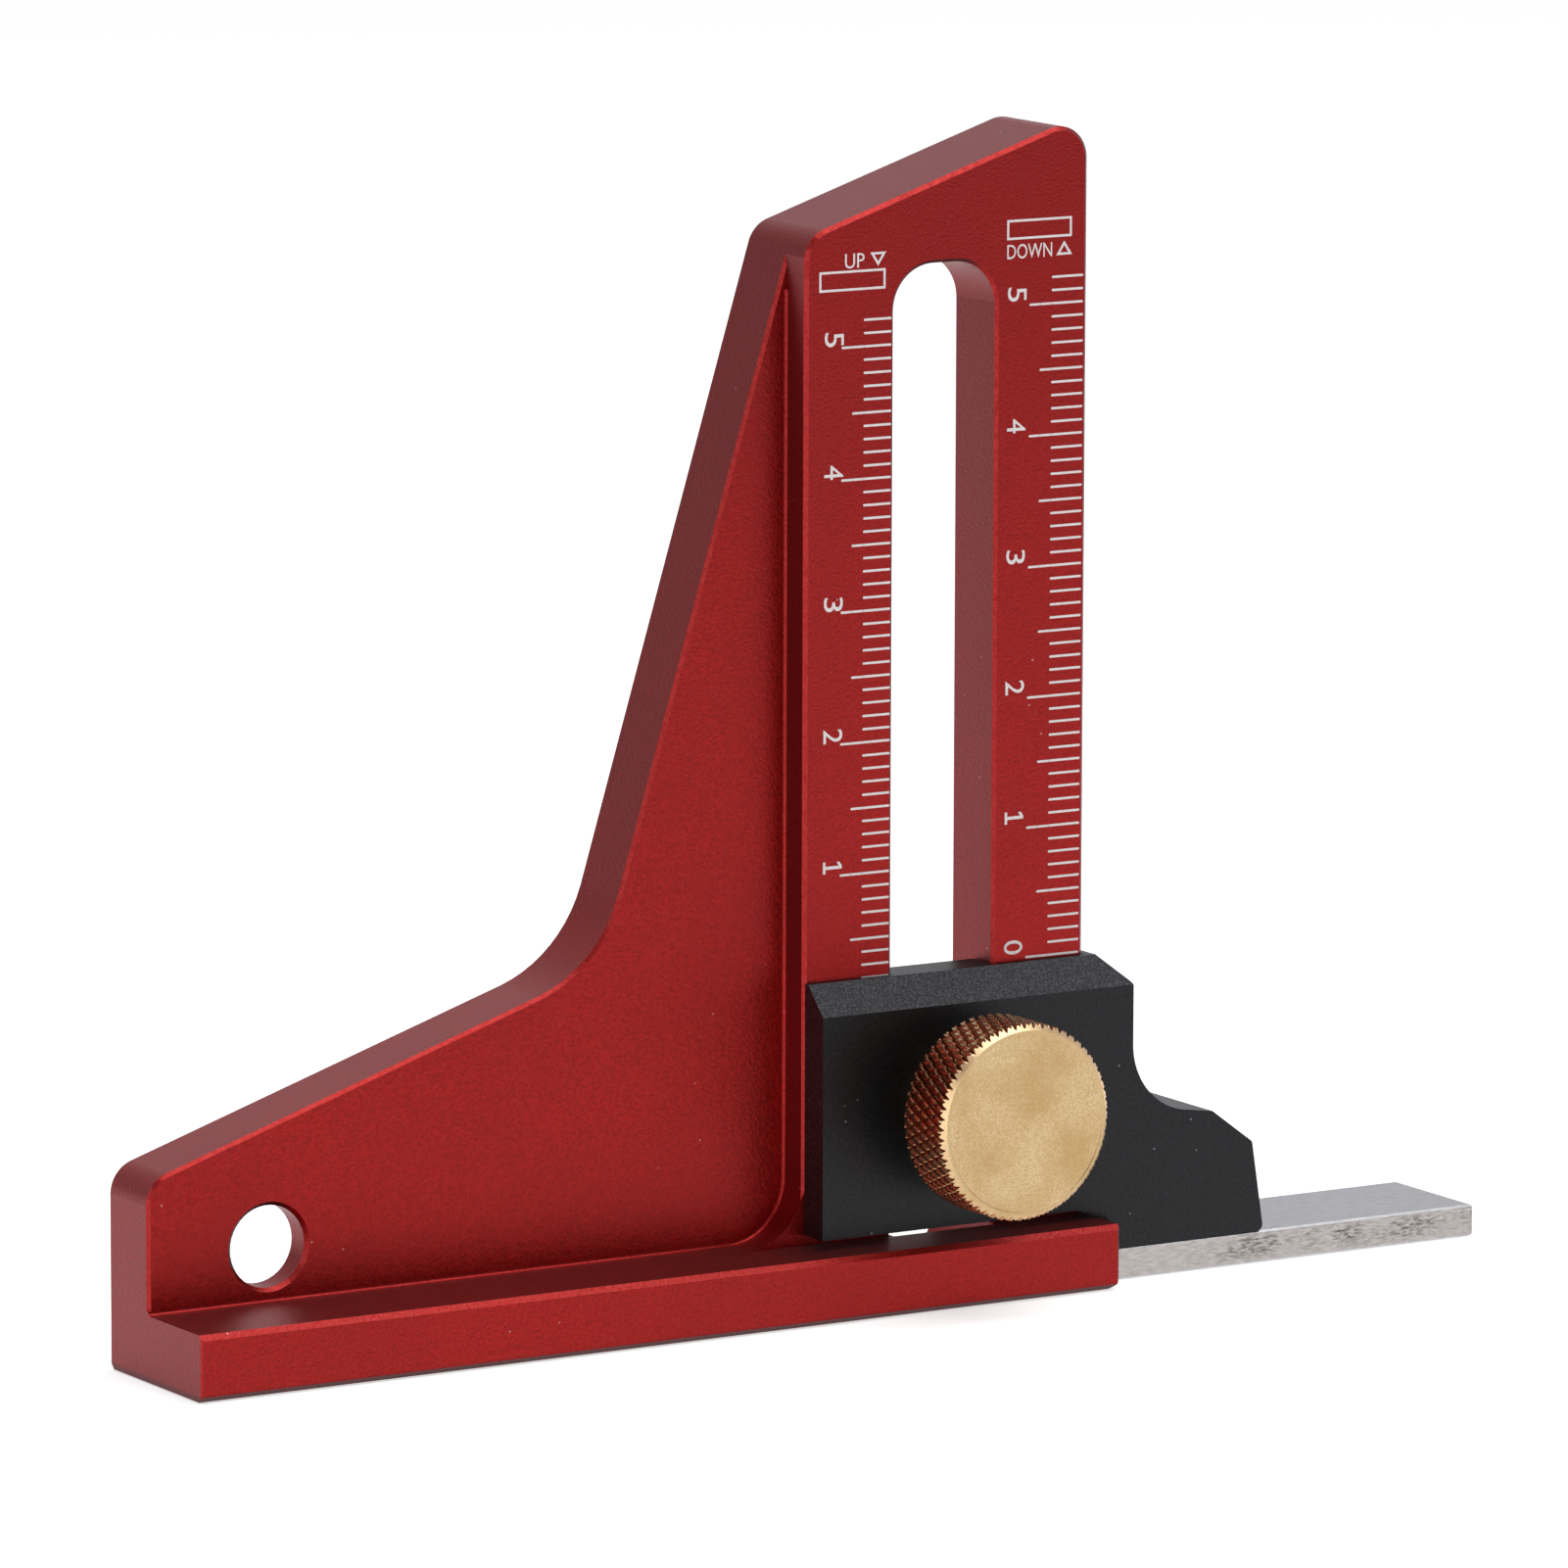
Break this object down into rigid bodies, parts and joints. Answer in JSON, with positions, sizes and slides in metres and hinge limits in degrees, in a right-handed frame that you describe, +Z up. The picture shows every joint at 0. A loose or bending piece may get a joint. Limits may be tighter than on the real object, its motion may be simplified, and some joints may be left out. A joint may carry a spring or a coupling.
{
  "type": "woodworking height gauge",
  "caption": "Small machined height gauge: a slotted post on a long foot with a sloping web, and a clamped slider that carries a flat steel measuring bar.",
  "frame": {"origin": "centre of the foot's resting face, on the surface that the gauge stands on", "axes": "+X runs along the foot towards the measuring bar, +Y from the scale side to the back, +Z up the post"},
  "size_m": [0.114, 0.0206, 0.0887],
  "materials": {
    "red_anodised": "red anodised over fine blasted, machined aluminium",
    "black_anodised": "black anodised over fine blasted aluminium",
    "stainless": "satin ground stainless steel",
    "screw_steel": "plain stainless screw steel",
    "turned_brass": "satin turned and knurled brass"
  },
  "bodies": {
    "frame": {"gauge_body": "red_anodised"},
    "carriage": {"slider": "black_anodised", "measuring_bar": "stainless", "bar_screws": "screw_steel"},
    "thumb_screw": {"thumb_screw": "turned_brass"},
    "clamp_nut": {"clamp_nut": "screw_steel"}
  },
  "joints": [
    {"name": "slider_slide", "type": "slide", "parent": "frame", "child": "carriage", "axis": [0, 0, 1], "range_m": [0, 0.05]},
    {"name": "knob_turn", "type": "hinge", "parent": "carriage", "child": "thumb_screw", "pos_m": [0.02705, -0.0042, 0.01525], "axis": [0, -1, 0], "range_deg": [0, 360]},
    {"name": "nut_travel", "type": "slide", "parent": "carriage", "child": "clamp_nut", "axis": [0, 1, 0], "range_m": [0, 0.00072]}
  ],
  "couplings": [
    {"joint": "nut_travel", "follows": "knob_turn", "m_per_rad": 0.00011141}
  ]
}
